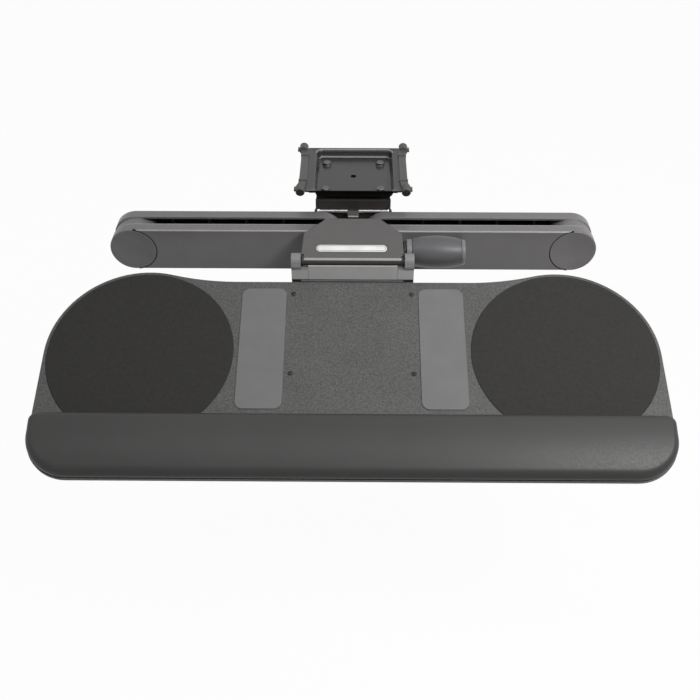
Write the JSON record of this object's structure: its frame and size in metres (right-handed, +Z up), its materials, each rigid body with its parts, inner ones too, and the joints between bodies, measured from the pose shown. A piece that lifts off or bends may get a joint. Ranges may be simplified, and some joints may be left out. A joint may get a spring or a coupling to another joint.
{
  "type": "keyboard tray under desk",
  "caption": "Keyboard tray with palm rest and mouse pads on a folding lift arm that hangs from an under-desk trolley, with swivel and dial tilt.",
  "frame": {"origin": "middle of the trolley at the level of its rim, on the swivel axis, which is the middle of the glides", "axes": "+X along the tray's width to the right, +Y along the glides towards the back of the desk, +Z up"},
  "size_m": [0.69, 0.4478, 0.1546],
  "materials": {
    "trolley_paint": "fine black powder coat",
    "glide_nylon": "moulded dark nylon",
    "dark_fastener": "black oxide",
    "neck_paint": "black powder coat",
    "bright_steel": "turned steel",
    "arm_paint": "smooth dark grey paint on a casting",
    "cap_plastic": "satin moulded cap",
    "gear_steel": "sintered steel",
    "spring_steel": "oiled spring band",
    "cover_paint": "satin dark grey paint",
    "strip_white": "white strip, bare",
    "bush_plastic": "black plastic",
    "knob_plastic": "soft-touch grip",
    "knob_trim": "moulded ring",
    "bracket_paint": "satin grey paint",
    "board_laminate": "pebbled dark laminate",
    "pad_cloth": "smooth mouse-pad cloth",
    "grip_rubber": "flat ribless rubber",
    "palm_plastic": "backing sheet",
    "palm_cover": "soft matte skin over foam"
  },
  "bodies": {
    "trolley": {"trolley_plate": "trolley_paint", "glide_left": "glide_nylon", "glide_right": "glide_nylon", "trolley_bolts": "dark_fastener", "swivel_upper_race": "trolley_paint"},
    "neck": {"swivel_lower_race": "neck_paint", "swivel_balls": "bright_steel", "neck_bracket": "neck_paint", "neck_rod": "bright_steel", "rod_hook": "neck_paint", "rear_pivot_pins": "bright_steel", "rear_pivot_clips": "bright_steel"},
    "rear_arm_left": {"rear_arm_left": "arm_paint", "rear_gear_left": "gear_steel", "rear_gear_screws_left": "dark_fastener", "knuckle_pin_left": "bright_steel", "lift_spring_left": "spring_steel"},
    "rear_arm_right": {"rear_arm_right": "arm_paint", "rear_gear_right": "gear_steel", "rear_gear_screws_right": "dark_fastener", "knuckle_pin_right": "bright_steel", "lift_spring_right": "spring_steel"},
    "front_arm_left": {"front_arm_left": "arm_paint", "front_gear_left": "gear_steel", "front_gear_screws_left": "dark_fastener", "front_cap_left": "cap_plastic"},
    "front_arm_right": {"front_arm_right": "arm_paint", "front_gear_right": "gear_steel", "front_gear_screws_right": "dark_fastener", "front_cap_right": "cap_plastic"},
    "front_hub": {"hub_plate": "cover_paint", "front_pivot_pins": "bright_steel", "front_pivot_clips": "bright_steel", "cover_plate": "cover_paint", "gauge_strip": "strip_white", "hinge_pin": "bright_steel", "hinge_bushes": "bush_plastic", "nut_guide": "gear_steel"},
    "tilt_knob": {"tilt_shaft": "bright_steel", "knob_collar": "knob_trim", "knob_grip": "knob_plastic", "knob_end_ring": "knob_trim"},
    "tilt_nut": {"tilt_nut": "gear_steel"},
    "tray": {"tray_bracket": "bracket_paint", "hinge_panel": "bracket_paint", "tray_board": "board_laminate", "tray_screws": "dark_fastener", "tray_nuts": "dark_fastener", "mouse_pad_left": "pad_cloth", "mouse_pad_right": "pad_cloth", "grip_left": "grip_rubber", "grip_right": "grip_rubber", "palm_base": "palm_plastic", "palm_rest": "palm_cover"}
  },
  "joints": [
    {"name": "swivel", "type": "hinge", "parent": "trolley", "child": "neck", "pos_m": [0, 0, 0], "axis": [0, 0, 1], "continuous": true},
    {"name": "arm_lift", "type": "hinge", "parent": "neck", "child": "rear_arm_left", "pos_m": [-0.04, 0, -0.0555], "axis": [0, 1, 0], "range_deg": [-20, 20]},
    {"name": "rear_right_pivot", "type": "hinge", "parent": "neck", "child": "rear_arm_right", "pos_m": [0.04, 0, -0.0555], "axis": [0, 1, 0], "range_deg": [-20, 20]},
    {"name": "left_knuckle", "type": "hinge", "parent": "rear_arm_left", "child": "front_arm_left", "pos_m": [-0.266, 0, -0.0555], "axis": [0, 1, 0], "range_deg": [-40, 40]},
    {"name": "right_knuckle", "type": "hinge", "parent": "rear_arm_right", "child": "front_arm_right", "pos_m": [0.266, 0, -0.0555], "axis": [0, 1, 0], "range_deg": [-40, 40]},
    {"name": "front_left_pivot", "type": "hinge", "parent": "front_arm_left", "child": "front_hub", "pos_m": [-0.04, 0, -0.0555], "axis": [0, 1, 0], "range_deg": [-20, 20]},
    {"name": "tray_tilt", "type": "hinge", "parent": "front_hub", "child": "tray", "pos_m": [0, -0.146, -0.0375], "axis": [1, 0, 0], "range_deg": [-30, 2]},
    {"name": "nut_travel", "type": "slide", "parent": "front_hub", "child": "tilt_nut", "axis": [1, 0, 0], "range_m": [-0.0024, 0.034]},
    {"name": "knob_turn", "type": "hinge", "parent": "front_hub", "child": "tilt_knob", "pos_m": [0, -0.1195, -0.042], "axis": [1, 0, 0], "range_deg": [-46, 676]}
  ],
  "couplings": [
    {"joint": "rear_right_pivot", "follows": "arm_lift", "ratio": -1},
    {"joint": "left_knuckle", "follows": "arm_lift", "ratio": -2},
    {"joint": "right_knuckle", "follows": "arm_lift", "ratio": 2},
    {"joint": "front_left_pivot", "follows": "arm_lift", "ratio": 1},
    {"joint": "nut_travel", "follows": "tray_tilt", "m_per_rad": -0.064458},
    {"joint": "knob_turn", "follows": "tray_tilt", "ratio": -22.5}
  ]
}
